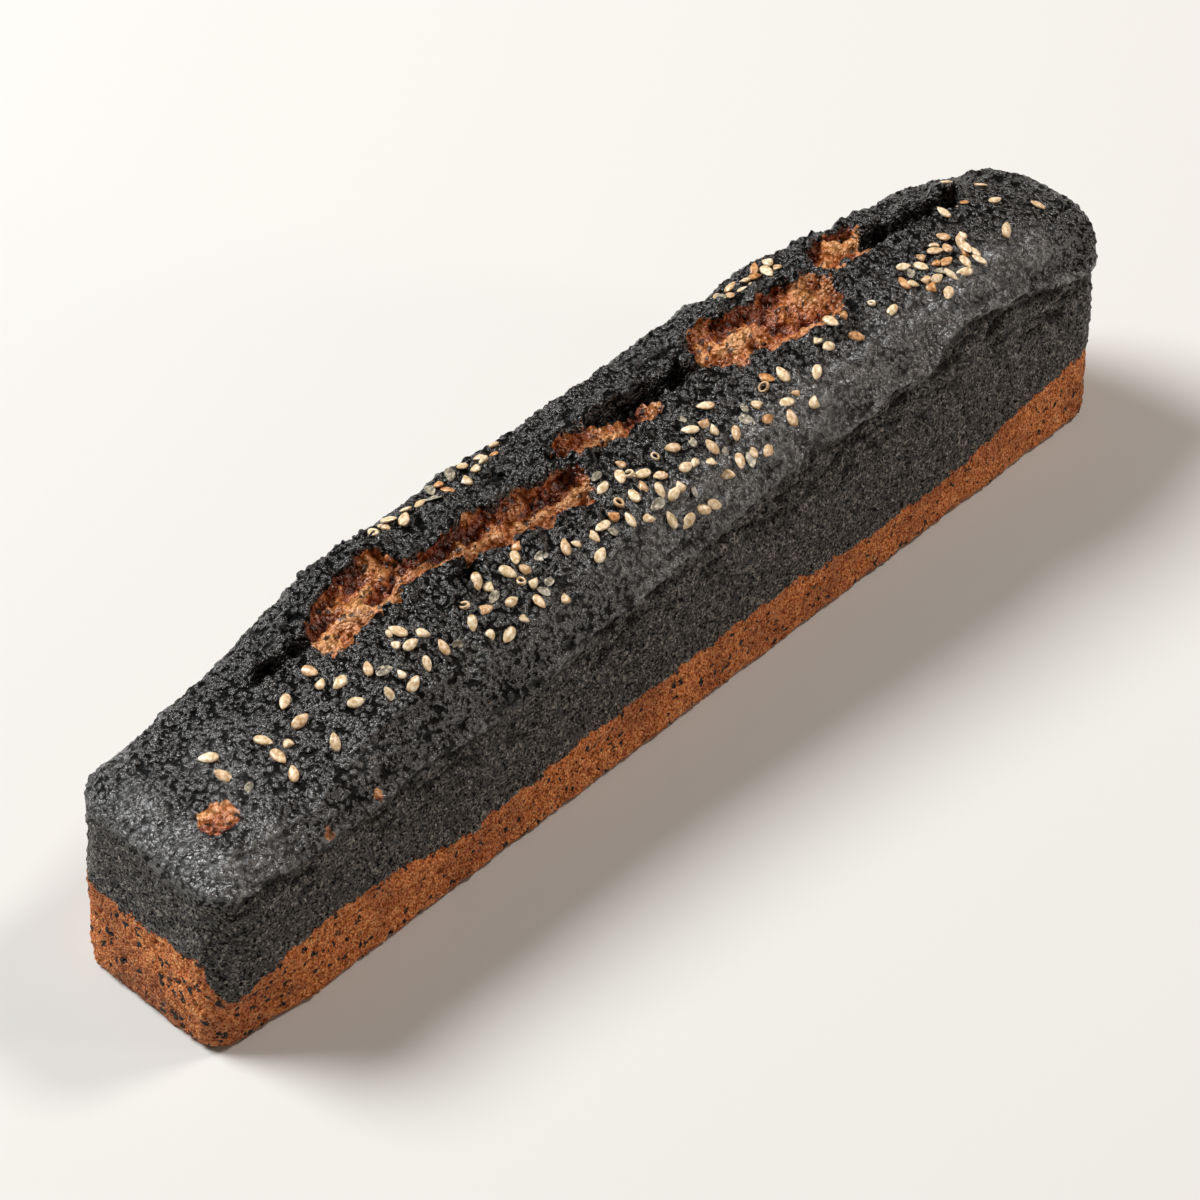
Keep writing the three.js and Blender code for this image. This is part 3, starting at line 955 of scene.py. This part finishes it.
def makeSeedMaterial():
    # Hulled sesame seed: smooth and slightly oily, cream on its crown, tan towards its rim and tip as
    # painted shade where it meets the crust, with faint mottling. Toasted ones are orange-brown.
    material, tree, shader = newMaterial("hulledSesameSeed")
    place = addNode(tree, "ShaderNodeTexCoord", output="Object")
    toast, rim = [addNode(tree, "ShaderNodeAttribute", {"attribute_name": name}, output="Fac")
                  for name in ("toast", "seedRim")]
    mottle = addNode(tree, noiseNode, None, {"Vector": place, "Scale": perSize(seed["mottle"])})
    plain = addNode(tree, rampNode, None, {0: mottle}, stops=seed["cream"])
    toasted = addNode(tree, rampNode, None, {0: mottle}, stops=seed["toasted"])
    colour = addNode(tree, mixNode, colours, {0: toast, 6: plain, 7: toasted}, 2)
    # painted shade: the rim and tip darkened brown where the seed meets the crust
    rimShare = addNode(tree, mathNode, times, {0: rim, 1: 0.7})
    colour = addNode(tree, mixNode, colours, {
        0: rimShare, 6: colour, 7: hexToLinear(seed["rimShadeColour"])}, 2)
    bump = addNode(tree, bumpNode, None, {"Strength": 0.35, "Distance": 0.1 * mm, "Height": mottle})
    fillInputs(tree, shader, {
        "Base Color": colour, "Normal": bump, "Roughness": seed["roughness"]})
    return material


def makeHullMaterial():
    # Empty sesame skin: papery and half clear, so the black crust greys it.
    material, tree, shader = newMaterial("sesameSkin")
    place = addNode(tree, "ShaderNodeTexCoord", output="Object")
    mottle = addNode(tree, noiseNode, None, {"Vector": place, "Scale": perSize(seed["mottle"])})
    colour = addNode(tree, rampNode, None, {0: mottle}, stops=seed["skin"])
    fillInputs(tree, shader, {"Base Color": colour, "Roughness": seed["skinRoughness"]})
    return material


def markSeedRim(piece):
    # 0 on the seed's crown and 1 around its rim and at its tip
    mesh = piece.data
    places = readPlaces(mesh) / mm
    across = np.abs(places[:, 1]) / (seed["width"] / 2)
    along = places[:, 0] / (seed["length"] / 2)
    rim = np.clip(np.hypot(across, along) - 0.8, 0, 0.25) / 0.25
    setAttribute(mesh, "seedRim", rim)


def frameSeedPlace(name):
    # where the frame's seed lies: its middle, and the heading of its tip
    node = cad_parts[name]
    places = readPlaces(node.data)
    middle = places.mean(0)
    spread = places - middle
    _, _, axes = np.linalg.svd(spread, full_matrices=False)
    lengthwise, sideways = axes[0], axes[1]
    ahead = spread @ lengthwise > 0
    widthAhead = np.abs(spread[ahead] @ sideways).mean()
    widthBehind = np.abs(spread[~ahead] @ sideways).mean()
    if widthAhead > widthBehind:
        lengthwise = -lengthwise
    return middle / mm, math.atan2(lengthwise[1], lengthwise[0])


def placeFrameSeeds(surface, dice, whole, material):
    # one seed for each of the frame's, lying on the finished crust; gives back where they are
    taken = []
    how = scatter["frame_seeds"]
    lift = seed["thickness"] / 2 - seed["sink"]
    for name in sorted(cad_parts):
        if name == "loaf":
            continue
        middle, heading = frameSeedPlace(name)
        pose = seedPose(surface, middle[0], middle[1], heading, lift, dice.uniform(*how["tilt"]))
        piece = placedCopy(whole, name + "_visual", pose, dice.uniform(*how["size"]))
        toast = dice.choice(seed["toast"]["levels"], p=seed["toast"]["shares"])
        setAttribute(piece.data, "toast", np.full(len(piece.data.vertices), toast))
        piece.data.materials.append(material)
        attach(piece, "root")
        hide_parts(name)
        taken.append(middle[:2])
    return taken


def freePlace(dice, middle, half, gap, taken):
    # a place in a patch, clear of the seeds already there when one is found in a few tries
    for _ in range(30):
        x = middle[0] + half[0] * dice.uniform(-1, 1)
        y = middle[1] + half[1] * dice.uniform(-1, 1)
        if all(math.hypot(x - u, y - v) > gap for u, v in taken):
            break
    taken.append((x, y))
    return x, y


def scatterMore(surface, dice, kind, count, middle, half, patterns, taken):
    # seeds, bits or hulls in one patch; a hull is sometimes a curled ring seen end on
    pieces = []
    for _ in range(count):
        style = kind
        if kind == "seed_hulls" and dice.random() < ringShare:
            style = "rings"
        how = scatter[style]
        x, y = freePlace(dice, middle, half, how["gap"], taken)
        pattern = patterns[style][dice.integers(len(patterns[style]))]
        tilt, size = dice.uniform(*how["tilt"]), dice.uniform(*how["size"])
        pose = seedPose(surface, x, y, dice.uniform(0, 2 * math.pi), how["lift"], tilt)
        piece = placedCopy(pattern, kind, pose, size)
        toast = dice.choice(seed["moreToast"]["levels"], p=seed["moreToast"]["shares"])
        setAttribute(piece.data, "toast", np.full(len(piece.data.vertices), toast))
        pieces.append(piece)
    return pieces


def makeSesame(cake):
    surface = crustFinder(cake)
    dice = np.random.default_rng(7)
    materials = {"seed": makeSeedMaterial(), "skin": makeHullMaterial()}
    whole = modelSeed()
    markSeedRim(whole)
    patterns = {
        "more_seeds": [whole],
        "seed_bits": [modelSeedBit(whole, angle) for angle in (0.0, 0.5, -0.4)],
        "seed_hulls": [modelHull(whole)],
        "rings": [modelHullRing()],
    }
    markSeedRim(patterns["rings"][0])
    for style, models in patterns.items():
        for model in models:
            if style != "more_seeds":
                model.data.materials.append(materials["skin" if style == "seed_hulls" else "seed"])
    taken = placeFrameSeeds(surface, dice, whole, materials["seed"])
    whole.data.materials.append(materials["seed"])
    print("sesame: the frame's seeds done")

    for column, kind in enumerate(("more_seeds", "seed_bits", "seed_hulls")):
        pieces = []
        for middle, half, counts in sprinkles:
            pieces += scatterMore(surface, dice, kind, counts[column], middle, half, patterns, taken)
        piece = joinPieces(pieces, kind)
        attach(piece, "root")
    for models in patterns.values():
        for model in models:
            bpy.data.objects.remove(model)
    print("sesame: the other seeds, bits and hulls done")


looseCrumbs = {
    # each patch's place along and across, and how many crumbs fell there
    "patches": [(-57, 15.5, 5), (-49, 15.8, 4), (-20, 9, 6), (15, 9.5, 4), (-42, -4, 5),
                (0, -2.5, 5), (50, -9, 4), (-66, 9, 3)],
    "halfLength": 4,
    "halfWidth": 1.2,
    "lift": 0.15,
    "size": (0.7, 1.9),
    "colours": [(0.35, "#060606"), (0.5, "#131312"), (0.7, "#2e2d2b")],
    "grain": 0.5,
    "roughness": 0.45,
}


def makeLooseCrumbs(cake):
    surface = crustFinder(cake)
    dice = np.random.default_rng(8)
    crumb = modelCrumb()
    pieces = []
    halfLength, halfWidth = looseCrumbs["halfLength"], looseCrumbs["halfWidth"]
    for middleX, middleY, count in looseCrumbs["patches"]:
        for _ in range(count):
            x = middleX + dice.uniform(-halfLength, halfLength)
            y = middleY + dice.uniform(-halfWidth, halfWidth)
            pose = seedPose(surface, x, y, dice.uniform(0, 6), looseCrumbs["lift"],
                            dice.uniform(-1, 1))
            pieces.append(placedCopy(crumb, "crumb", pose, dice.uniform(*looseCrumbs["size"])))
    piece = joinPieces(pieces, "loose_crumbs")
    piece.data.materials.append(makeLooseCrumbMaterial())
    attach(piece, "root")
    bpy.data.objects.remove(crumb)
    print("loose crumbs done")


def makeLooseCrumbMaterial():
    # Baked black crumb: dry and gritty, with a few glints.
    material, tree, shader = newMaterial("bakedBlackCrumb")
    place = addNode(tree, "ShaderNodeTexCoord", output="Object")
    grain = addNode(tree, noiseNode, None, {"Vector": place, "Scale": perSize(looseCrumbs["grain"])})
    colour = addNode(tree, rampNode, None, {0: grain}, stops=looseCrumbs["colours"])
    bump = addNode(tree, bumpNode, None, {"Strength": 0.9, "Distance": 0.4 * mm, "Height": grain})
    fillInputs(tree, shader, {
        "Base Color": colour, "Normal": bump, "Roughness": looseCrumbs["roughness"]})
    return material


makeCamera()
makeLights()
makeFloor()
cake = makeLoaf()
makeSesame(cake)
makeLooseCrumbs(cake)
